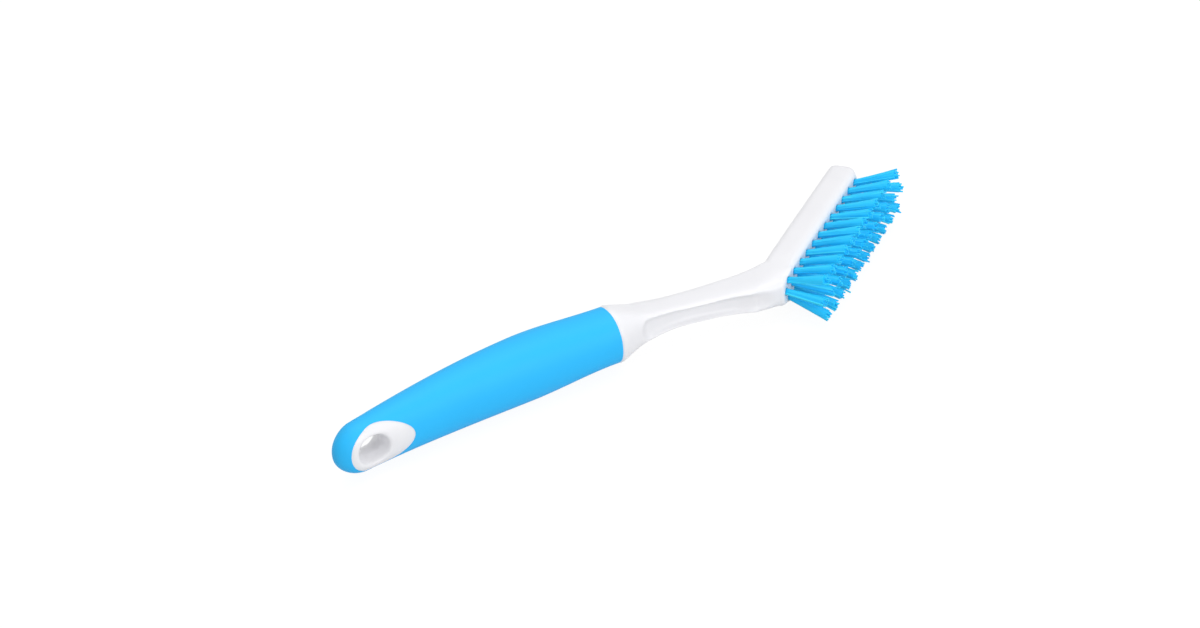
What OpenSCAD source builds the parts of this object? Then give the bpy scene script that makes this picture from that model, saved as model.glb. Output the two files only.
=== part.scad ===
// Grout brush lying on its side: the handle runs along X, the back of the brush faces +Y,
// its width lies along Z, and the origin is the middle of the hanging hole.

/* [Grip] */
// Length of the soft grip, along its arched middle line
grip_length = 121.8; // [110:0.2:134]
// Angle through which the grip arches from the collar to the hanging end
arch_angle = 14.9; // [6:0.1:19]
// Width of the grip at its fullest
grip_width = 24.9; // [23.5:0.1:27]
// Thickness of the grip at its fullest
grip_thickness = 23.2; // [22:0.2:25.6]
// Distance from the collar to where the grip is fullest
grip_fullest = 38; // [32:1:50]
// Width of the hanging end, where its round tip starts
tail_width = 19.8; // [19.4:0.1:21.5]
// Thickness of the hanging end, where its round tip starts
tail_thickness = 14.7; // [13.7:0.1:16]
// Length of the round tip of the hanging end
tail_round = 10.8; // [9:0.1:12]
// Wall of the soft grip over the core
grip_wall = 2.2; // [1.5:0.1:3]
// Bond line between the soft grip and the core
bond = 0.05; // [0.02:0.01:0.1]

/* [Hanging hole and its window] */
// Distance from the tip of the hanging end to the middle of the hole
hole_from_tip = 15.2; // [14.6:0.1:16.4]
// Length of the hole at its throat
hole_length = 10.6; // [9.6:0.1:11.4]
// Width of the hole at its throat
hole_width = 9.2; // [8:0.1:9.6]
// How far the mouth flares out all round
hole_flare = 2.4; // [1.4:0.1:2.6]
// Depth of the flared mouth on each face
flare_depth = 4.5; // [3:0.1:5]
// Length of the egg-shaped window in the grip
window_length = 26.6; // [25.4:0.2:28.4]
// Width of the window at its fullest
window_width = 17.8; // [17:0.1:18.2]
// How much fuller the window is towards the hanging end, as a share of its width
window_egg = 0.17; // [0:0.01:0.22]
// Distance from the tip of the hanging end to the window
window_from_tip = 5; // [4.2:0.1:5.6]

/* [Collar and neck] */
// Diameter of the collar where the grip ends
collar_d = 21.4; // [20.4:0.1:22.6]
// Height of the collar's rim above the grip
collar_lip = 0.35; // [0:0.05:0.6]
// Length of the collar before it draws in to the neck
collar_length = 6.5; // [5:0.5:9]
// Length over which the collar draws in to the neck
collar_taper = 17; // [14:0.5:19]
// Distance from the collar's face to where the middle lines of neck and head meet
neck_length = 74.5; // [68:0.5:88]
// Width of the neck at its slimmest
neck_width = 8.7; // [8:0.1:10]
// Thickness of the neck, from its back to its underside
neck_thickness = 14.3; // [12.5:0.1:15.3]
// How far the neck's middle falls towards its underside by the time it reaches the heel
neck_drop = 5.6; // [4.4:0.1:6.2]
// Distance from the collar's face to the start of the recess
recess_start = 11; // [9.5:0.5:15]
// Distance from the end of the recess to where the middle lines of neck and head meet
recess_end_gap = 13; // [12:0.5:17]
// Thickness of the rib left on each side of the recess
recess_rib = 1.2; // [1:0.1:1.8]
// Depth of the recess
recess_depth = 4.4; // [2.5:0.1:5]

/* [Head] */
// Angle between the neck and the head
head_angle = 39; // [25:1:50]
// Length of the head
head_length = 86.6; // [85.6:0.1:96]
// How far the head's heel reaches back past the end of the neck
heel_reach = 15.6; // [14:0.1:17]
// Width of the head
head_width = 15.5; // [14.8:0.1:18]
// Thickness of the head
head_thickness = 12.5; // [11.6:0.1:13.5]
// Radius of the rounding at the heel and the back of the nose
head_round = 3.2; // [2.4:0.1:3.6]
// Radius of the rounding at the nose's sides and bristle face
nose_round = 5.2; // [4:0.1:5.4]

/* [Bristles] */
// Tufts in each outer row
outer_tufts = 12; // [10:1:12]
// Tufts in the middle row
middle_tufts = 13; // [11:1:13]
// Distance between neighbouring tufts of a row
tuft_pitch = 6.6; // [6.2:0.05:6.7]
// Distance between neighbouring rows
row_gap = 3.6; // [3.5:0.05:4]
// Diameter of a tuft hole
hole_d = 3; // [2.6:0.05:3.05]
// Depth of a tuft hole
hole_depth = 7; // [6:0.1:7.3]
// Length of the bristles outside the head
bristle_length = 17; // [14:0.5:22]
// Sideways lean of the outer rows
row_lean = 14.8; // [8:0.1:15.6]
// Lean of the last tufts towards the nose
nose_lean = 12.5; // [8:0.5:16]
// Lean of the last tufts towards the heel
heel_lean = 13; // [8:0.5:18]
// Strands in the inner ring of a tuft
inner_strands = 4; // [3:1:4]
// Strands in the outer ring of a tuft
outer_strands = 8; // [6:1:8]
// Width of a strand across its corners
strand_d = 0.72; // [0.5:0.02:0.76]
// How much wider a tuft is at its tips than at its root
tuft_spread = 1.5; // [1.2:0.05:1.6]
// Largest difference in length between strands
ragged = 1.2; // [0:0.1:2]
// Clearance of a tuft in its hole and round its anchor
tuft_clearance = 0.05; // [0.02:0.01:0.1]
// Thickness of the flat wire anchor that holds a tuft
anchor_thickness = 0.4; // [0.3:0.05:0.5]
// Height of the anchor
anchor_height = 1.6; // [1.2:0.1:2]

/* [Hidden] */
SIDES = 28;
WHITE = "whitesmoke";
BLUE = "deepskyblue";
STEEL = "silver";
ROWS = ["left", "middle", "right"];

collar_r = collar_d / 2;
arch_radius = grip_length / (arch_angle * PI / 180);
head_back = head_thickness / 2;
// Rounding, drops and small shifts that the sizes above leave open
tail_dome = 0.6;
rim_round = 1.2;
core_reach = collar_length / 2;
under_trim = 0.4;
shoulder_drop = 2.5;
heel_blend = 10;
heel_swell = 1.3;
heel_inset = 0.5;
neck_swell = 0.45;
head_flat = 0.6;
nose_shift = 0.5;
recess_fade = 9;
recess_narrowing = 1.2;
// Squareness of the sections
grip_square = 2.15;
shoulder_square = 2.6;
bar_square = 4;
head_square = 4.2;
recess_square = 5;

// Value of a smooth curve through [place, value] pairs, level at its two ends
function clamp(x, low, high) = max(low, min(high, x));
function slope(c, i) =
    (i == 0 || i == len(c) - 1) ? 0 : (c[i + 1][1] - c[i - 1][1]) / (c[i + 1][0] - c[i - 1][0]);
function span(c, x, i = 0) = (i >= len(c) - 2 || x < c[i + 1][0]) ? i : span(c, x, i + 1);
function curve(c, x) =
    let (i = span(c, x), h = c[i + 1][0] - c[i][0], u = clamp((x - c[i][0]) / h, 0, 1))
    c[i][1] * (1 + 2 * u) * pow(1 - u, 2) + c[i + 1][1] * u * u * (3 - 2 * u)
    + h * slope(c, i) * u * pow(1 - u, 2) - h * slope(c, i + 1) * u * u * (1 - u);

// Middle line of the handle: an arc through the grip, straight from the collar on
function arch_at(t) = t < 0 ? -t / arch_radius * 180 / PI : 0;
function line_at(t) =
    t < 0 ? [-arch_radius * sin(arch_at(t)), -arch_radius * (1 - cos(arch_at(t)))] : [t, 0];

// A closed rounded section: half width, height to the back, height to the underside,
// and a squareness of 2 for an ellipse and more for a rounded box
function power(x, e) = sign(x) * pow(abs(x), e);
function section(half, back, under, square) = [
    for (i = [0 : SIDES - 1])
        let (a = 360 * (i + 0.5) / SIDES, s = power(sin(a), 2 / square))
        [s > 0 ? s * back : s * under, half * power(cos(a), 2 / square)]
];
// The section stood up square to a line, at a point and turned by an angle in the XY plane
function stand(points, at, angle) = [
    for (p = points) [at[0] - p[0] * sin(angle), at[1] + p[0] * cos(angle), p[1]]
];

// Solid skin through a list of sections
module skin(rings) {
    n = SIDES;
    last = len(rings) - 1;
    walls = [
        for (k = [0 : last - 1], i = [0 : n - 1], half = [0, 1])
            let (j = (i + 1) % n)
            half == 0 ? [k * n + i, k * n + j, (k + 1) * n + i]
                      : [k * n + j, (k + 1) * n + j, (k + 1) * n + i]
    ];
    start = [for (i = [1 : n - 2]) [0, i + 1, i]];
    end = [for (i = [1 : n - 2]) [last * n, last * n + i, last * n + i + 1]];
    polyhedron(points = [for (r = rings, p = r) p], faces = concat(walls, start, end));
}

// Half sizes of the grip along its middle line, from the tip at -grip_length to the collar at 0
grip_half = [
    [-grip_length, tail_width / 2 - tail_dome],
    [-grip_length + tail_round, tail_width / 2],
    [-grip_fullest, grip_width / 2],
    [0, collar_r]
];
grip_deep = [
    [-grip_length, tail_thickness / 2 - tail_dome],
    [-grip_length + tail_round, tail_thickness / 2],
    [-grip_fullest, grip_thickness / 2],
    [0, collar_r]
];
// How much of its full size the round tip has at a distance from the end
function tip(d) = d >= tail_round ? 1 : sqrt(1 - pow(1 - d / tail_round, 2));

function grip_section(t, inset) =
    let (full = tip(t + grip_length - inset))
    section(full * (curve(grip_half, t) - inset), full * (curve(grip_deep, t) - inset),
            full * (curve(grip_deep, t) - inset), grip_square);

function grip_stops(inset) = concat(
    [for (k = [1 : 7]) -grip_length + inset + tail_round * (1 - cos(90 * k / 8))],
    [for (k = [0 : 15]) -grip_length + inset + tail_round + (grip_length - inset - tail_round) * k / 15]
);

// Outer skin of the grip, drawn in by an inset and run on past the collar's face
module grip_form(inset, past = 0) {
    stops = past > 0 ? concat(grip_stops(inset), [past]) : grip_stops(inset);
    skin([for (t = stops) stand(grip_section(t, inset), line_at(t), arch_at(t))]);
}

// Turns a flat outline in the XZ plane into a prism through the whole thickness of the handle
module through(deep) {
    translate([0, deep, 0])
        rotate([90, 0, 0])
            linear_extrude(2 * deep)
                children();
}

tip_point = line_at(-grip_length);
hole_point = line_at(-grip_length + hole_from_tip);
window_point = line_at(-grip_length + window_from_tip);

module window_outline(grow) {
    steps = 48;
    polygon([
        for (k = [0 : steps - 1])
            let (a = 360 * k / steps)
            [
                window_point[0] + window_length / 2 + (window_length / 2 + grow) * cos(a),
                (window_width / 2 + grow) * sin(a) * (1 - window_egg * cos(a))
            ]
    ]);
}

// One level of the flared hanging hole
function hole_ring(y, grow) = [
    for (i = [0 : SIDES - 1])
        let (a = 360 * (i + 0.5) / SIDES, side = sign(cos(a)))
        [
            hole_point[0] + side * (hole_length - hole_width) / 2 + (hole_width / 2 + grow) * cos(a),
            hole_point[1] + y,
            (hole_width / 2 + grow) * sin(a)
        ]
];

// The hanging hole: a straight throat that opens out in a cone at each face
module hanging_hole() {
    face = curve(grip_deep, -grip_length + hole_from_tip);
    beyond = 4;
    spread = hole_flare * (1 + beyond / flare_depth);
    levels = [
        [-face - beyond, spread], [-face + flare_depth, 0], [face - flare_depth, 0], [face + beyond, spread]
    ];
    skin([for (l = levels) hole_ring(l[0], l[1])]);
}

// Half sizes of the collar and neck from the collar's face on
neck_start = collar_length + collar_taper;
neck_flare = neck_length - heel_reach;
collar_end = collar_length + collar_taper * 0.09;
taper_point = collar_length + collar_taper * 0.35;
before_flare = neck_flare - heel_blend;
neck_middle = (neck_start + before_flare) / 2;
neck_deep = neck_thickness / 2;
neck_half = [
    [0, collar_r],
    [rim_round, collar_r + collar_lip],
    [collar_end, collar_r - shoulder_drop],
    [taper_point, collar_r * 0.25 + neck_width * 0.43],
    [neck_start, neck_width / 2 + collar_lip],
    [neck_middle, neck_width / 2],
    [before_flare, neck_width / 2 + neck_swell],
    [neck_flare, neck_width / 2 + heel_swell],
    [neck_length, head_width / 2 - heel_inset]
];
neck_back = [
    [0, collar_r],
    [rim_round, collar_r + collar_lip],
    [taper_point, collar_r - 0.8],
    [neck_start, neck_deep + neck_drop * 0.15],
    [neck_middle, neck_deep - neck_drop * 0.15],
    [before_flare, neck_deep - neck_drop * 0.45],
    [neck_flare, neck_deep - neck_drop * 0.73],
    [neck_length, neck_deep - neck_drop * 0.73]
];
neck_under = [
    [0, collar_r - under_trim],
    [rim_round, collar_r + collar_lip - under_trim],
    [collar_end, collar_r - under_trim - shoulder_drop],
    [taper_point, neck_deep - neck_drop * 0.06],
    [neck_start, neck_deep - neck_drop * 0.2],
    [neck_middle, neck_deep + neck_drop * 0.15],
    [before_flare, neck_deep + neck_drop * 0.68],
    [neck_flare, neck_deep + neck_drop * 1.27],
    [neck_length, neck_deep + neck_drop * 0.8]
];
neck_square = [
    [0, grip_square], [collar_end, shoulder_square], [neck_start, bar_square], [neck_length, bar_square]
];

module neck_form() {
    stops = concat(
        [0, rim_round, rim_round + (collar_length - rim_round) / 3, rim_round + (collar_length - rim_round) * 2 / 3],
        [for (k = [0 : 8]) collar_length + collar_taper * k / 8],
        [for (k = [1 : 14]) neck_start + (neck_length - neck_start) * k / 14]
    );
    skin([
        for (t = stops)
            stand(section(curve(neck_half, t), curve(neck_back, t), curve(neck_under, t),
                          curve(neck_square, t)), line_at(t), 0)
    ]);
}

// The head's own frame: its middle line along X from the heel, bristles towards -Y
module head_place() {
    translate([neck_length, 0, 0])
        rotate([0, 0, head_angle])
            translate([-heel_reach, 0, 0])
                children();
}

// Length of a rounded corner at a distance from the end, as the amount lost from the full size
function corner(r, d) = d >= r ? 0 : r - sqrt(r * r - pow(r - d, 2));

module head_form() {
    turn = [for (k = [0 : 5]) 1 - cos(90 * k / 5)];
    middle = 6;
    straight = head_length - head_round - nose_round;
    stops = concat(
        [for (u = turn) head_round * u],
        [for (k = [1 : middle - 1]) head_round + straight * k / middle],
        [for (k = [5 : -1 : 0]) head_length - nose_round * turn[k]]
    );
    skin([
        for (t = stops)
            let (heel = corner(head_round, t), nose = corner(nose_round, head_length - t),
                 back = corner(head_round, head_length - t))
            stand(section(head_width / 2 - heel - nose, head_back - (heel + back) * 0.8,
                          head_back + head_flat - heel - nose, head_square), [t, 0], 0)
    ]);
}

// Where the tufts stand: [distance from the heel, row place, lean along the head]
function tuft_count(row) = row == 0 ? middle_tufts : outer_tufts;
function tuft_x(row, i) = head_length / 2 + nose_shift + (i - (tuft_count(row) - 1) / 2) * tuft_pitch;
function lean_along(row, i) =
    let (u = (tuft_x(row, i) - head_length / 2) / (head_length / 2))
    (u > 0 ? nose_lean : heel_lean) * power(u, 3);

module tuft_place(row, i) {
    head_place()
        translate([tuft_x(row, i), -head_back, row * row_gap])
            rotate([-row * row_lean, 0, 0])
                rotate([0, 0, lean_along(row, i)])
                    rotate([90, 0, 0])
                        children();
}

module every_tuft() {
    for (row = [-1 : 1], i = [0 : tuft_count(row) - 1])
        tuft_place(row, i)
            children();
}

// Trough in the neck's underside that follows the neck's outline inside two ribs
module recess() {
    steps = 16;
    stop = neck_length - recess_end_gap;
    cut = 5;
    fade = [[recess_start, 1], [stop - recess_fade, 1], [stop, 0.1]];
    skin([
        for (k = [0 : steps])
            let (t = recess_start + (stop - recess_start) * k / steps, share = curve(fade, t),
                 half = curve(neck_half, t) - recess_rib - recess_narrowing * (1 - share),
                 floor_at = recess_depth * share - curve(neck_under, t))
            stand(section(half, cut, cut, recess_square), [t, floor_at - cut], 0)
    ]);
}

// White moulding: core, boss round the hole, collar, neck and head
module body() {
    color(WHITE)
        difference() {
            union() {
                grip_form(grip_wall, core_reach);
                intersection() {
                    grip_form(0);
                    through(2 * grip_thickness)
                        window_outline(0);
                }
                neck_form();
                head_place()
                    head_form();
            }
            hanging_hole();
            recess();
            head_place()
                translate([-head_length, -head_back - head_thickness, -head_width])
                    cube([3 * head_length, head_thickness, 2 * head_width]);
            every_tuft()
                translate([0, 0, -hole_depth])
                    cylinder(d = hole_d, h = hole_depth + 2, $fn = 24);
        }
}

// Soft overmould on the core
module grip() {
    color(BLUE)
        difference() {
            grip_form(0);
            grip_form(grip_wall - bond, core_reach);
            through(2 * grip_thickness)
                window_outline(bond);
        }
}

// Flat wire anchors at the bottom of the tuft holes
anchor_level = -hole_depth + 0.3;
module anchor(grow) {
    length = hole_d - 2 * tuft_clearance + 4 * grow;
    translate([-length / 2, -anchor_thickness / 2 - grow, anchor_level])
        cube([length, anchor_thickness + 2 * grow, anchor_height + grow]);
}

module tuft_anchors() {
    color(STEEL)
        every_tuft()
            anchor(0);
}

// One bristle strand: three sides, from inside the root to its cut tip
module strand(from, to, r) {
    corners = [for (k = [0 : 2]) [r * cos(120 * k), r * sin(120 * k), 0]];
    polyhedron(
        points = concat([for (c = corners) from + c], [for (c = corners) to + c]),
        faces = [[0, 1, 2], [3, 5, 4], [0, 4, 1], [0, 3, 4], [1, 5, 2], [1, 4, 5], [2, 3, 0], [2, 5, 3]]
    );
}

// A folded bundle: the root fills its hole down to the anchor and the strands fan out of it
module tuft(row, i) {
    seed = 100 * (row + 2) + i;
    count = inner_strands + outer_strands;
    lengths = rands(-ragged / 2, ragged / 2, count, seed);
    root_r = hole_d / 2 - tuft_clearance;
    root_bottom = -hole_depth + 0.6;
    outer_r = root_r - strand_d / 2 - 0.05;
    inner_r = outer_r * 0.46;
    color(BLUE)
        tuft_place(row, i) {
            difference() {
                translate([0, 0, root_bottom])
                    cylinder(r = root_r, h = -root_bottom, $fn = 24);
                anchor(tuft_clearance);
            }
            for (k = [0 : count - 1])
                let (
                    inner = k < inner_strands,
                    r = inner ? inner_r : outer_r,
                    a = inner ? 360 * k / inner_strands : 360 * (k - inner_strands) / outer_strands + 20,
                    out = [cos(a), sin(a), 0]
                )
                strand(out * r - [0, 0, 1], out * r * tuft_spread + [0, 0, bristle_length + lengths[k]],
                       strand_d / 2);
        }
}

function tuft_name(row, i) = str("tuft_", ROWS[row + 1], "_", i + 1);

module part() {
    translate([-hole_point[0], -hole_point[1], 0])
        children();
}

part() body();
part() grip();
part() tuft_anchors();
for (row = [-1 : 1], i = [0 : tuft_count(row) - 1])
    part() tuft(row, i);
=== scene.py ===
import math
import random

import bmesh
import bpy
from mathutils import Matrix, Vector


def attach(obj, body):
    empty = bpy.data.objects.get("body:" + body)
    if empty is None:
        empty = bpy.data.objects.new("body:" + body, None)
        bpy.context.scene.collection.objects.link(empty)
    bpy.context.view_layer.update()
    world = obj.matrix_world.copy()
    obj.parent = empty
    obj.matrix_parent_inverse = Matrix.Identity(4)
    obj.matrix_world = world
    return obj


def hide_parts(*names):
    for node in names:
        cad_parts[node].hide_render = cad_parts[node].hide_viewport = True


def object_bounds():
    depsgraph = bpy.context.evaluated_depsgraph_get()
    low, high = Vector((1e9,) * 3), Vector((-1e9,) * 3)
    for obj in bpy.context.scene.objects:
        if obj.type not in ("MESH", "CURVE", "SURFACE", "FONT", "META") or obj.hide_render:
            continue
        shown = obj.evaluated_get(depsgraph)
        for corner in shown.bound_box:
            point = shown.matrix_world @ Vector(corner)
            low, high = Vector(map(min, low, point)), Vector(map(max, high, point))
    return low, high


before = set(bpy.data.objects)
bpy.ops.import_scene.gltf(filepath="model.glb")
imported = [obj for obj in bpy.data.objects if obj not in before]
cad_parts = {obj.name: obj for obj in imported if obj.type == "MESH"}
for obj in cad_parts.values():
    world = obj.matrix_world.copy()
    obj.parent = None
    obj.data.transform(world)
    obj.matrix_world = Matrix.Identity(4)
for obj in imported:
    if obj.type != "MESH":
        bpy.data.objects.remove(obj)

cad_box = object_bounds()

# White moulding
# One injection-moulded piece of white polypropylene: the core inside the soft grip, the boss
# round the hanging hole, the collar, the slim neck with its recess, and the bar of the head.

# Sizes are in millimetres, in the handle's own frame: x runs from the collar's face along the
# middle line, y towards the back of the brush and z across its width.
MM = 0.001

grip_length, arch_angle = 121.8, math.radians(14.9)
grip_fullest, grip_width, grip_thickness = 38, 24.9, 23.2
tail_width, tail_thickness, tail_round = 19.8, 14.7, 10.8
tail_dome = 0.6
collar_d, grip_wall, grip_square = 21.4, 2.2, 2.15
tail_steps, grip_steps = 24, 60
boss_sink, boss_overlap = 0.08, 0.7
hole_from_tip, hole_length, hole_width = 15.2, 9.4, 7.8
hole_flare, flare_depth, past_face = 2.3, 6, 4
window_from_tip, window_length, window_width, window_egg = 5, 26.6, 17.8, 0.17
window_reach = (-40, 20)
collar_lip, rim_round, collar_length, collar_taper, under_trim = 0.35, 1.2, 6.5, 17, 0.4
collar_step, collar_tuck, tucked = 2.5, 0.8, 0.15
rim_steps, neck_steps = 4, 80
neck_length, neck_width, neck_thickness, neck_drop = 74.5, 8.7, 14.3, 5.6
recess_start, recess_end_gap, recess_rib, recess_depth = 10.6, 10, 1.1, 2.9
recess_cut, recess_narrowing, recess_square, recess_steps = 5, 1.2, 2.8, 48
head_angle, head_length, heel_reach = math.radians(39), 87.8, 15.6
head_width, head_thickness, head_flat, head_round, nose_round = 15.5, 12.5, 0.6, 3.2, 6.5
heel_half, end_bevel, head_square, turn_steps, head_steps = 5.7, 0.8, 4.2, 10, 30
outer_tufts, middle_tufts, outer_pitch, middle_pitch, row_gap = 12, 13, 6.8, 6.65, 3.6
tufts_middle = 43.9
tuft_hole, tuft_depth, above_face, hole_sides = 3, 7, 2, 24
row_lean, nose_lean, heel_lean = 14.8, 20, 14

arch_radius = grip_length / arch_angle
collar_r = collar_d / 2
SIDES = 96
SMOOTHING = 0.5
skin_cell, skin_rounds = 0.42, 6


def through_pairs(pairs, x):
    """Value of a smooth curve through [place, value] pairs, level at its two ends."""
    x = min(max(x, pairs[0][0]), pairs[-1][0])
    i = max(k for k in range(len(pairs) - 1) if k == 0 or x >= pairs[k][0])

    def slope(k):
        if k in (0, len(pairs) - 1):
            return 0
        return (pairs[k + 1][1] - pairs[k - 1][1]) / (pairs[k + 1][0] - pairs[k - 1][0])
    run = pairs[i + 1][0] - pairs[i][0]
    u = (x - pairs[i][0]) / run
    return (pairs[i][1] * (1 + 2 * u) * (1 - u) ** 2 + pairs[i + 1][1] * u * u * (3 - 2 * u)
            + run * slope(i) * u * (1 - u) ** 2 - run * slope(i + 1) * u * u * (1 - u))


def middle_line(t):
    """Point of the handle's middle line and its angle: an arc in the grip, straight beyond."""
    if t >= 0:
        return t, 0, 0
    angle = -t / arch_radius
    return -arch_radius * math.sin(angle), -arch_radius * (1 - math.cos(angle)), angle


hole_x, hole_y, _ = middle_line(-grip_length + hole_from_tip)


def placed(x, y, z):
    """A point of the handle's own frame, in metres, with the hanging hole at the origin."""
    return Vector((x - hole_x, y - hole_y, z)) * MM


def ring(at, half, back, under, square):
    """Rounded section square to a line: 2 is an ellipse, more is squarer."""
    x, y, angle = at
    points = []
    for k in range(SIDES):
        a = 2 * math.pi * (k + 0.5) / SIDES
        up = math.copysign(abs(math.sin(a)) ** (2 / square), math.sin(a))
        side = math.copysign(abs(math.cos(a)) ** (2 / square), math.cos(a))
        rise = up * (back if up > 0 else under)
        points.append(placed(x - rise * math.sin(angle), y + rise * math.cos(angle), half * side))
    return points


def as_piece(bm, name):
    """A mesh under construction becomes an object of the scene."""
    mesh = bpy.data.meshes.new(name)
    bm.to_mesh(mesh)
    bm.free()
    piece = bpy.data.objects.new(name, mesh)
    bpy.context.scene.collection.objects.link(piece)
    return piece


def run_on(bm, end, inner):
    """Extrudes an end face; the one it leaves behind goes, unless it closes the start."""
    grown = bmesh.ops.extrude_face_region(bm, geom=[end])
    if inner:
        bmesh.ops.delete(bm, geom=[end], context="FACES_ONLY")
    return next(item for item in grown["geom"] if isinstance(item, bmesh.types.BMFace))


def lofted(name, rings):
    """Closed solid run through rings of points, one extrusion at a time."""
    bm = bmesh.new()
    place = bm.verts.layers.int.new("place")
    bmesh.ops.create_circle(bm, cap_ends=True, radius=1, segments=len(rings[0]))
    bm.faces.ensure_lookup_table()
    end = bm.faces[0]
    for number, vert in enumerate(end.verts):
        vert[place] = number
        vert.co = rings[0][number]
    for number, points in enumerate(rings[1:]):
        end = run_on(bm, end, number > 0)
        for vert in end.verts:
            vert.co = points[vert[place]]
    bmesh.ops.recalc_face_normals(bm, faces=bm.faces)
    return as_piece(bm, name)


def settle(piece):
    """The piece's modifiers become its mesh."""
    bpy.context.view_layer.update()
    graph = bpy.context.evaluated_depsgraph_get()
    mesh = bpy.data.meshes.new_from_object(piece.evaluated_get(graph))
    piece.modifiers.clear()
    piece.data = mesh


def combine(piece, tool, operation):
    """Cuts a piece with a tool, or keeps what the two share."""
    step = piece.modifiers.new("cut", "BOOLEAN")
    step.operation = operation
    step.solver = "EXACT"
    step.object = tool
    settle(piece)


def moulded(name, shells, cell, rounds):
    """Shells run together into one skin with softly rounded edges, made of cells of one size."""
    bm = bmesh.new()
    for shell in shells:
        bm.from_mesh(shell.data)
        bpy.data.objects.remove(shell)
    piece = as_piece(bm, name)
    skin = piece.modifiers.new("skin", "REMESH")
    skin.mode = "VOXEL"
    skin.voxel_size = cell
    soft = piece.modifiers.new("soft", "SMOOTH")
    soft.factor = SMOOTHING
    soft.iterations = rounds
    settle(piece)
    piece.data.shade_smooth()
    return piece


# Half sizes along the middle line, as [place, size].
grip_half = [[-grip_length, tail_width / 2 - tail_dome],
             [-grip_length + tail_round, tail_width / 2],
             [-grip_fullest, grip_width / 2], [0, collar_r]]
grip_deep = [[-grip_length, tail_thickness / 2 - tail_dome],
             [-grip_length + tail_round, tail_thickness / 2],
             [-grip_fullest, grip_thickness / 2], [0, collar_r]]


def grip_form(name, inset, past):
    """The grip's outer skin drawn in by an inset, run on past the collar's face."""
    end = -grip_length + inset
    stops = [end + tail_round * (1 - math.cos(math.pi / 2 * k / tail_steps))
             for k in range(1, tail_steps)]
    stops += [end + tail_round - (end + tail_round) * k / grip_steps
              for k in range(grip_steps + 1)]
    if past:
        stops.append(past)
    rings = []
    for t in stops:
        reach = min(1, (t - end) / tail_round)
        full = math.sqrt(1 - (1 - reach) ** 2)
        half = full * (through_pairs(grip_half, t) - inset)
        deep = full * (through_pairs(grip_deep, t) - inset)
        rings.append(ring(middle_line(t), half, deep, deep, grip_square))
    return lofted(name, rings)


def window_prism(grow):
    """Egg-shaped prism through the whole thickness of the handle."""
    start = middle_line(-grip_length + window_from_tip)[0]
    outline = []
    for k in range(SIDES):
        a = 2 * math.pi * k / SIDES
        outline.append((start + window_length / 2 + (window_length / 2 + grow) * math.cos(a),
                        (window_width / 2 + grow) * math.sin(a) * (1 - window_egg * math.cos(a))))
    return lofted("window", [[placed(x, y, z) for x, z in outline] for y in window_reach])


# The boss lies a touch below the grip's skin and runs on under the window's edge.
core = grip_form("core", grip_wall, collar_length / 2)
boss = grip_form("boss", boss_sink, 0)
window = window_prism(boss_overlap)
combine(boss, window, "INTERSECT")
bpy.data.objects.remove(window)

neck_start = collar_length + collar_taper
neck_flare = neck_length - heel_reach
collar_end, taper_point, before_flare = collar_length + 1.5, collar_length + 6, neck_flare - 10
neck_middle = (neck_start + before_flare) / 2
neck_deep = neck_thickness / 2
# Half width, reach to the back and to the bristle side, and squareness, as [place, size].
neck_half = [[0, collar_r],
             [rim_round, collar_r + collar_lip],
             [collar_end, collar_r - collar_step],
             [taper_point, collar_r * 0.25 + neck_width * 0.43],
             [neck_start, neck_width / 2 + 0.35],
             [neck_middle, neck_width / 2],
             [before_flare, neck_width / 2 + 0.45],
             [neck_flare, neck_width / 2 + 1.3],
             [neck_length, head_width / 2 - 0.5]]
neck_back = [[0, collar_r],
             [rim_round, collar_r + collar_lip],
             [taper_point, collar_r - 0.8],
             [neck_start, neck_deep + neck_drop * 0.15],
             [neck_middle, neck_deep - neck_drop * 0.15],
             [before_flare, neck_deep - neck_drop * 0.45],
             [neck_flare, neck_deep - neck_drop * 0.73],
             [neck_length, neck_deep - neck_drop * 0.73]]
neck_under = [[0, collar_r - under_trim],
              [rim_round, collar_r + collar_lip - under_trim],
              [collar_end, collar_r - under_trim - collar_step],
              [taper_point, neck_deep - neck_drop * 0.06],
              [neck_start, neck_deep - neck_drop * 0.2],
              [neck_middle, neck_deep + neck_drop * 0.15],
              [before_flare, neck_deep + neck_drop * 0.68],
              [neck_flare, neck_deep + neck_drop * 1.27],
              [neck_length, neck_deep + neck_drop * 0.8]]
neck_square = [[0, grip_square], [collar_end, 2.6], [neck_start, 4], [neck_length, 4]]
neck_stops = [rim_round * k / rim_steps for k in range(rim_steps)]
neck_stops += [rim_round + (neck_length - rim_round) * k / neck_steps
               for k in range(neck_steps + 1)]
# The collar starts just inside the grip's end, so that no gap shows where the two meet.
neck_rings = [ring(middle_line(-collar_tuck), collar_r - tucked, collar_r - tucked,
                   collar_r - under_trim - tucked, grip_square)]
neck_rings += [
    ring(middle_line(t), through_pairs(neck_half, t), through_pairs(neck_back, t),
         through_pairs(neck_under, t), through_pairs(neck_square, t))
    for t in neck_stops]
neck = lofted("neck", neck_rings)


def head_line(t):
    """Middle line of the head, from its heel on."""
    reach = t - heel_reach
    return neck_length + reach * math.cos(head_angle), reach * math.sin(head_angle), head_angle


def corner(r, d):
    """Loss of size at a distance d from the end of a form whose corner has a radius r."""
    return 0 if d >= r else r - math.sqrt(r * r - (r - d) ** 2)


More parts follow.
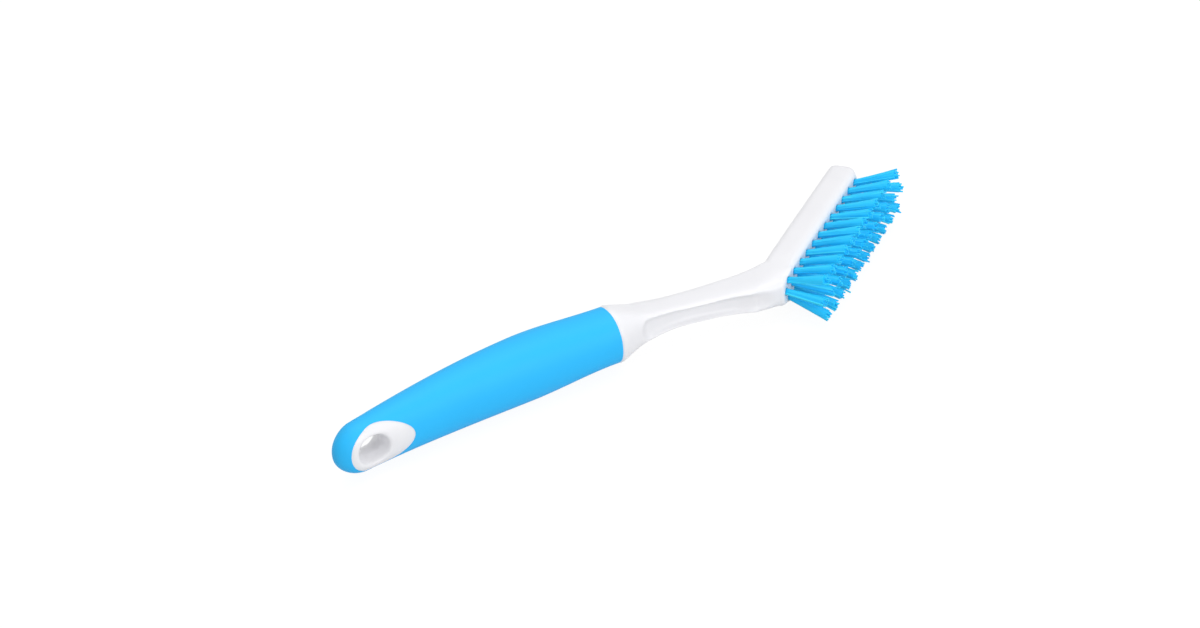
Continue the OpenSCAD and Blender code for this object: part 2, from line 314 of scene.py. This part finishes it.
turn = [1 - math.cos(math.pi / 2 * k / turn_steps) for k in range(turn_steps + 1)]
head_straight = head_length - head_round - nose_round
head_stops = [head_round * u for u in turn]
head_stops += [head_round + head_straight * k / head_steps for k in range(1, head_steps)]
head_stops += [head_length - nose_round * u for u in reversed(turn)]
head_half = [[0, heel_half], [7, heel_half + 0.8], [18, head_width / 2],
             [head_length, head_width / 2]]
head_rings = []
for t in head_stops:
    heel, nose = corner(head_round, t), corner(nose_round, head_length - t)
    back = corner(head_round, head_length - t)
    head_rings.append(ring(head_line(t), through_pairs(head_half, t) - heel - back,
                           head_thickness / 2 - (heel + back) * end_bevel,
                           head_thickness / 2 + head_flat - heel - nose, head_square))
head = lofted("head", head_rings)

face = through_pairs(grip_deep, -grip_length + hole_from_tip)
mouth = hole_flare * (1 + past_face / flare_depth)
levels = [(-face - past_face, mouth), (-face + flare_depth, 0),
          (face - flare_depth, 0), (face + past_face, mouth)]


def hole_point(a, y, grow):
    """A point of the hanging hole's long round section, grown by the flare."""
    radius = hole_width / 2 + grow
    half_straight = math.copysign((hole_length - hole_width) / 2, math.cos(a))
    return placed(hole_x + half_straight + radius * math.cos(a), hole_y + y, radius * math.sin(a))


hanging_hole = lofted("hanging_hole", [
    [hole_point(2 * math.pi * (k + 0.5) / SIDES, y, grow) for k in range(SIDES)]
    for y, grow in levels])

recess_stop = neck_length - recess_end_gap
fade = [[recess_start, 0.2], [recess_start + 3, 1], [recess_stop - 6, 1], [recess_stop, 0.1]]
recess_rings = []
for k in range(recess_steps + 1):
    t = recess_start + (recess_stop - recess_start) * k / recess_steps
    shallow = through_pairs(fade, t)
    floor_y = -through_pairs(neck_under, t) + recess_depth * shallow
    recess_rings.append(ring((t, floor_y - recess_cut, 0),
                             through_pairs(neck_half, t) - recess_rib
                             - recess_narrowing * (1 - shallow),
                             recess_cut, recess_cut, recess_square))
recess = lofted("recess", recess_rings)


def turned(matrix, bm):
    """Moves a whole mesh under construction by a matrix."""
    bmesh.ops.transform(bm, matrix=matrix, verts=bm.verts)


head_frame = (Matrix.Translation(placed(neck_length, 0, 0)) @ Matrix.Rotation(head_angle, 4, "Z")
              @ Matrix.Translation(Vector((-heel_reach * MM, 0, 0))))
# What lies beyond the bristle face: it trims the neck and the head to one flat face.
bm = bmesh.new()
bmesh.ops.create_cube(bm, size=1)
turned(Matrix.Diagonal((3 * head_length * MM, head_thickness * MM, 2 * head_width * MM, 1)), bm)
turned(head_frame @ Matrix.Translation(Vector((head_length / 2, -head_thickness, 0)) * MM), bm)
below_head = as_piece(bm, "below_head")

ROWS = {"left": -1, "middle": 0, "right": 1}


def tuft_frame(row, number):
    """Where a tuft stands: its own +Z runs out of the head along the bristles."""
    count, pitch = (outer_tufts, outer_pitch) if row else (middle_tufts, middle_pitch)
    x = tufts_middle + (number - (count - 1) / 2) * pitch
    u = (x - head_length / 2) / (head_length / 2)
    lean = (nose_lean if u > 0 else heel_lean) * u ** 3
    return (head_frame @ Matrix.Translation(Vector((x, -head_thickness / 2, row * row_gap)) * MM)
            @ Matrix.Rotation(math.radians(-row * row_lean), 4, "X")
            @ Matrix.Rotation(math.radians(lean), 4, "Z")
            @ Matrix.Rotation(math.radians(90), 4, "X"))


bm = bmesh.new()
for row in ROWS.values():
    for number in range(middle_tufts if row == 0 else outer_tufts):
        bmesh.ops.create_cone(
            bm, cap_ends=True, segments=hole_sides,
            radius1=tuft_hole / 2 * MM, radius2=tuft_hole / 2 * MM,
            depth=(tuft_depth + above_face) * MM,
            matrix=(tuft_frame(row, number)
                    @ Matrix.Translation((0, 0, (above_face - tuft_depth) / 2 * MM))))
tuft_holes = as_piece(bm, "tuft_holes")

for shell in (core, boss):
    combine(shell, hanging_hole, "DIFFERENCE")
for shell in (neck, head):
    for tool in (recess, below_head, tuft_holes):
        combine(shell, tool, "DIFFERENCE")
for tool in (hanging_hole, recess, below_head, tuft_holes):
    bpy.data.objects.remove(tool)
moulding = moulded("white_moulding", [core, boss, neck, head], skin_cell * MM, skin_rounds)


def soften(piece, inside, rounds):
    """Rubs a piece's skin smooth where inside(point) holds."""
    bm = bmesh.new()
    bm.from_mesh(piece.data)
    zone = [vert for vert in bm.verts if inside(vert.co)]
    for _ in range(rounds):
        bmesh.ops.smooth_vert(bm, verts=zone, factor=SMOOTHING,
                              use_axis_x=True, use_axis_y=True, use_axis_z=True)
    bm.to_mesh(piece.data)
    bm.free()


into_head = head_frame.inverted()
heel_x, heel_y, heel_zone, heel_levels = 66, -4, 14, (2 - head_thickness / 2, 2)
mouth_zone = (4.8, 8.6)
neck_zone = (9, 66)
neck_rounds, heel_rounds, mouth_rounds = 10, 60, 20


def at_heel(point):
    """Where the neck runs into the heel, short of the bristle face and of the back."""
    near = (point - placed(heel_x, heel_y, point.z / MM)).length < heel_zone * MM
    in_head = into_head @ point
    return near and heel_levels[0] * MM < in_head.y < heel_levels[1] * MM


def at_mouth(point):
    """Round the rims of the hanging hole."""
    return mouth_zone[0] * MM < math.hypot(point.x, point.z) < mouth_zone[1] * MM


def along_neck(point):
    return placed(neck_zone[0], 0, 0).x < point.x < placed(neck_zone[1], 0, 0).x


soften(moulding, along_neck, neck_rounds)
soften(moulding, at_heel, heel_rounds)
soften(moulding, at_mouth, mouth_rounds)
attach(moulding, "root")
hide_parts("body")


def fine_grain_group():
    """Grain of a moulded surface: a fine bump height and a slow mottle, both from 0 to 1."""
    group = bpy.data.node_groups.new("fine_grain", "ShaderNodeTree")
    group.interface.new_socket("Grain size", in_out="INPUT", socket_type="NodeSocketFloat")
    group.interface.new_socket("Mottle size", in_out="INPUT", socket_type="NodeSocketFloat")
    group.interface.new_socket("Grain", in_out="OUTPUT", socket_type="NodeSocketFloat")
    group.interface.new_socket("Mottle", in_out="OUTPUT", socket_type="NodeSocketFloat")
    nodes, links = group.nodes, group.links
    given, put = nodes.new("NodeGroupInput"), nodes.new("NodeGroupOutput")
    where = nodes.new("ShaderNodeTexCoord")
    for source, target, detail in (("Grain size", "Grain", 3), ("Mottle size", "Mottle", 2)):
        pattern = nodes.new("ShaderNodeTexNoise")
        pattern.inputs["Detail"].default_value = detail
        links.new(where.outputs["Object"], pattern.inputs["Vector"])
        links.new(given.outputs[source], pattern.inputs["Scale"])
        links.new(pattern.outputs["Fac"], put.inputs[target])
    return group


fine_grain = fine_grain_group()
MOTTLE_SIZE, BUMP_STRENGTH = 60, 0.5


def moulded_plastic(name, light, dark, rough, grain_size, bump_height):
    """Plastic with a slow mottle in its colour and gloss and a fine grain in its surface."""
    material = bpy.data.materials.new(name)
    material.use_nodes = True
    nodes, links = material.node_tree.nodes, material.node_tree.links
    shader = nodes["Principled BSDF"]
    grain = nodes.new("ShaderNodeGroup")
    grain.node_tree = fine_grain
    grain.inputs["Grain size"].default_value = grain_size
    grain.inputs["Mottle size"].default_value = MOTTLE_SIZE
    colour = nodes.new("ShaderNodeMix")
    colour.data_type = "RGBA"
    colour.inputs["A"].default_value = (*dark, 1)
    colour.inputs["B"].default_value = (*light, 1)
    links.new(grain.outputs["Mottle"], colour.inputs["Factor"])
    links.new(colour.outputs["Result"], shader.inputs["Base Color"])
    gloss = nodes.new("ShaderNodeMapRange")
    gloss.inputs["To Min"].default_value = rough[0]
    gloss.inputs["To Max"].default_value = rough[1]
    links.new(grain.outputs["Mottle"], gloss.inputs["Value"])
    links.new(gloss.outputs["Result"], shader.inputs["Roughness"])
    bump = nodes.new("ShaderNodeBump")
    bump.inputs["Distance"].default_value = bump_height
    bump.inputs["Strength"].default_value = BUMP_STRENGTH
    links.new(grain.outputs["Grain"], bump.inputs["Height"])
    links.new(bump.outputs["Normal"], shader.inputs["Normal"])
    return material, shader


white_plastic, shader = moulded_plastic(
    "white_plastic", (0.83, 0.83, 0.855), (0.79, 0.79, 0.82), (0.3, 0.42), 900, 0.00003)
shader.inputs["Subsurface Weight"].default_value = 0.2
shader.inputs["Subsurface Radius"].default_value = (1, 1, 1)
shader.inputs["Subsurface Scale"].default_value = 0.0015
moulding.data.materials.clear()
moulding.data.materials.append(white_plastic)

# Soft grip
# Sky-blue thermoplastic rubber moulded over the core, matt and slightly grainy. It ends in a
# clean line at the collar and leaves an egg-shaped window round the hanging hole.
bond = 0.05
sharp_edge = math.radians(35)
grip_outside = grip_form("grip_outside", 0, 0)
grip_inside = grip_form("grip_inside", grip_wall - bond, collar_length / 2)
window = window_prism(bond)
for tool in (grip_inside, window):
    combine(grip_outside, tool, "DIFFERENCE")
    bpy.data.objects.remove(tool)
soft_grip = grip_outside
soft_grip.name = soft_grip.data.name = "soft_grip"
soft_grip.data.shade_smooth()
soft_grip.data.set_sharp_from_angle(angle=sharp_edge)
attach(soft_grip, "root")
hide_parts("grip")
blue_rubber, shader = moulded_plastic(
    "blue_rubber", (0.021, 0.495, 0.955), (0.018, 0.47, 0.925), (0.5, 0.62), 1600, 0.00005)
shader.inputs["Specular IOR Level"].default_value = 0.3
soft_grip.data.materials.clear()
soft_grip.data.materials.append(blue_rubber)

# Bristle tufts
# Each tuft is a bundle of stiff nylon filaments folded in two and pressed into its hole. The
# filaments leave the head side by side, fan out a little and end in ragged cut tips.
bristle_length, fan_out = 17, 1.7
filaments, filament_d, filament_sides = 19, 0.66, 6
filler_d, filler_share, filler_sides, filler_tone = 2.3, 0.96, 10, 0.3
hole_play = 0.05
bundle_r = tuft_hole / 2 - hole_play - filament_d / 2
golden_angle, angle_play = math.radians(137.5), 0.15
ragged, drift_spread, curl_spread, late_drift = 1.6, 0.22, 0.1, 1.5
stray_share, stray_extra, stray_drift = 0.07, 0.8, 3
# Below 0 a depth in the hole in millimetres, from 0 on a share of the free length.
stops_along = (-5.6, 0, 0.35, 0.7, 1)


def filament_path(start, chance):
    """Points of one filament in its tuft's own frame, with their share of the free length."""
    reach = bristle_length + chance.uniform(-ragged, ragged) * 0.5
    drift = Vector((chance.gauss(0, drift_spread), chance.gauss(0, drift_spread), 0))
    if chance.random() < stray_share:
        reach += stray_extra
        drift *= stray_drift
    curl = Vector((chance.gauss(0, curl_spread), chance.gauss(0, curl_spread), 0))
    path = []
    for stop in stops_along:
        share = max(stop, 0)
        height = stop if stop < 0 else reach * stop
        path.append((start * (1 + (fan_out - 1) * share) + drift * share ** late_drift
                     + curl * math.sin(math.pi * share) + Vector((0, 0, height)), share))
    return path


def bristle_tuft(name, frame_of_tuft, chance):
    """One tuft: its filaments in a sunflower pattern, and the filler in the middle."""
    bm = bmesh.new()
    tone = bm.verts.layers.float.new("tone")
    along = bm.verts.layers.float.new("along")
    for k in range(filaments):
        distance = bundle_r * math.sqrt((k + 0.5) / filaments)
        angle = k * golden_angle + chance.uniform(-angle_play, angle_play)
        start = Vector((math.cos(angle), math.sin(angle), 0)) * distance
        shade = chance.random()
        path = filament_path(start, chance)
        made = bmesh.ops.create_circle(bm, cap_ends=True, radius=filament_d / 2,
                                       segments=filament_sides)
        end = made["verts"][0].link_faces[0]
        spot = path[0][0]
        bmesh.ops.translate(bm, vec=spot, verts=list(end.verts))
        for vert in end.verts:
            vert[tone], vert[along] = shade, 0
        for number, (point, share) in enumerate(path[1:]):
            end = run_on(bm, end, number > 0)
            bmesh.ops.translate(bm, vec=point - spot, verts=list(end.verts))
            spot = point
            for vert in end.verts:
                vert[along] = share
    # The filler is the middle of the bundle, packed too close to show its single filaments.
    filler_length = bristle_length * filler_share
    made = bmesh.ops.create_cone(
        bm, cap_ends=True, segments=filler_sides,
        radius1=filler_d / 2, radius2=filler_d / 2 * fan_out, depth=filler_length,
        matrix=Matrix.Translation((0, 0, filler_length / 2)))
    for vert in made["verts"]:
        vert[tone] = filler_tone
    bmesh.ops.recalc_face_normals(bm, faces=bm.faces)
    turned(frame_of_tuft @ Matrix.Scale(MM, 4), bm)
    piece = as_piece(bm, name)
    piece.data.shade_smooth()
    piece.data.set_sharp_from_angle(angle=math.radians(60))
    return piece


def bristle_material():
    """Nylon whose shade of blue changes from one filament to the next."""
    material = bpy.data.materials.new("blue_bristles")
    material.use_nodes = True
    nodes, links = material.node_tree.nodes, material.node_tree.links
    shader = nodes["Principled BSDF"]
    tone, along = nodes.new("ShaderNodeAttribute"), nodes.new("ShaderNodeAttribute")
    tone.attribute_name, along.attribute_name = "tone", "along"
    filament = nodes.new("ShaderNodeMix")
    filament.data_type = "RGBA"
    filament.inputs["A"].default_value = (0.01, 0.52, 1, 1)
    filament.inputs["B"].default_value = (0.055, 0.74, 1, 1)
    links.new(tone.outputs["Fac"], filament.inputs["Factor"])
    links.new(filament.outputs["Result"], shader.inputs["Base Color"])
    wear = nodes.new("ShaderNodeMapRange")
    wear.inputs["To Min"].default_value = 0.4
    wear.inputs["To Max"].default_value = 0.55
    links.new(along.outputs["Fac"], wear.inputs["Value"])
    links.new(wear.outputs["Result"], shader.inputs["Roughness"])
    shader.inputs["Specular IOR Level"].default_value = 0.25
    shader.inputs["Sheen Weight"].default_value = 1
    shader.inputs["Sheen Roughness"].default_value = 0.5
    shader.inputs["Sheen Tint"].default_value = (0.02, 0.7, 1, 1)
    return material


blue_bristles = bristle_material()
chance = random.Random(7)
for row_name, row in ROWS.items():
    for number in range(middle_tufts if row == 0 else outer_tufts):
        tuft = bristle_tuft(f"bristles_{row_name}_{number + 1}", tuft_frame(row, number), chance)
        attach(tuft, "root")
        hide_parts(f"tuft_{row_name}_{number + 1}")
        tuft.data.materials.append(blue_bristles)

# Tuft anchors
# Short flat pieces of plated steel wire, driven across each hole through the fold of the
# bundle. They sit at the bottom of the holes, under the bristles.
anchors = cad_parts["tuft_anchors"]
plated_wire, shader = moulded_plastic(
    "plated_wire", (0.74, 0.74, 0.76), (0.66, 0.66, 0.68), (0.25, 0.4), 2500, 0.00001)
shader.inputs["Metallic"].default_value = 1
anchors.data.materials.clear()
anchors.data.materials.append(plated_wire)

# Floor, light and camera
# A white table under the brush, soft light from a large overhead panel and a front fill, and
# the camera at the photograph's place.
floor_size, floor_gap = 6, 0.0002
floor_bounce, floor_shadow, floor_glow = 0.65, 0.12, 0.92
world_light = 0.6
floor_level = cad_box[0][2]
bm = bmesh.new()
bmesh.ops.create_grid(bm, x_segments=1, y_segments=1, size=floor_size)
turned(Matrix.Translation((0, 0, floor_level - floor_gap)), bm)
floor = as_piece(bm, "floor")
table = bpy.data.materials.new("white_table")
table.use_nodes = True
nodes, links = table.node_tree.nodes, table.node_tree.links
nodes.clear()
# To the camera and in reflections the table is nearly plain white with a faint shadow. To all
# other rays it is a matt surface.
seen = nodes.new("ShaderNodeLightPath")
either = nodes.new("ShaderNodeMath")
either.operation = "MAXIMUM"
links.new(seen.outputs["Is Camera Ray"], either.inputs[0])
links.new(seen.outputs["Is Glossy Ray"], either.inputs[1])
matt = nodes.new("ShaderNodeBsdfDiffuse")
matt.inputs["Color"].default_value = (floor_bounce, floor_bounce, floor_bounce, 1)
faint = nodes.new("ShaderNodeBsdfDiffuse")
faint.inputs["Color"].default_value = (floor_shadow, floor_shadow, floor_shadow, 1)
glow = nodes.new("ShaderNodeEmission")
glow.inputs["Color"].default_value = (1, 1, 1, 1)
glow.inputs["Strength"].default_value = floor_glow
white = nodes.new("ShaderNodeAddShader")
links.new(faint.outputs[0], white.inputs[0])
links.new(glow.outputs[0], white.inputs[1])
mix = nodes.new("ShaderNodeMixShader")
links.new(either.outputs[0], mix.inputs[0])
links.new(matt.outputs[0], mix.inputs[1])
links.new(white.outputs[0], mix.inputs[2])
out = nodes.new("ShaderNodeOutputMaterial")
links.new(mix.outputs[0], out.inputs["Surface"])
floor.data.materials.append(table)

scene = bpy.context.scene
scene.view_settings.view_transform = "Standard"
world = bpy.data.worlds.new("studio")
world.use_nodes = True
nodes, links = world.node_tree.nodes, world.node_tree.links
nodes["Background"].inputs["Color"].default_value = (1, 1, 1, 1)
seen, strength = nodes.new("ShaderNodeLightPath"), nodes.new("ShaderNodeMapRange")
strength.inputs["To Min"].default_value = world_light
strength.inputs["To Max"].default_value = 1
links.new(seen.outputs["Is Camera Ray"], strength.inputs["Value"])
links.new(strength.outputs["Result"], nodes["Background"].inputs["Strength"])
scene.world = world


def panel(name, place, target, size, power):
    """A soft rectangular lamp that faces a target."""
    light = bpy.data.lights.new(name, "AREA")
    light.shape = "RECTANGLE"
    light.size, light.size_y = size
    light.energy = power
    lamp = bpy.data.objects.new(name, light)
    lamp.location = place
    lamp.rotation_mode = "QUATERNION"
    lamp.rotation_quaternion = (Vector(target) - Vector(place)).to_track_quat("-Z", "Y")
    scene.collection.objects.link(lamp)


middle = (0.1, 0, 0)
panel("overhead", (0.25, 0.2, 1.2), middle, (1.1, 0.8), 6.3)
panel("front", (0.25, -1.2, 0.6), middle, (1.0, 0.8), 8.3)

camera_data = bpy.data.cameras.new("camera")
camera_data.sensor_width = 36
camera_data.lens = 120.09
camera_data.clip_start, camera_data.clip_end = 0.01, 20
camera = bpy.data.objects.new("camera", camera_data)
camera.location = (-0.44661, -1.11308, 0.79293)
camera.rotation_euler = (math.radians(57.898), math.radians(4.135), math.radians(-28.608))
scene.collection.objects.link(camera)
scene.camera = camera
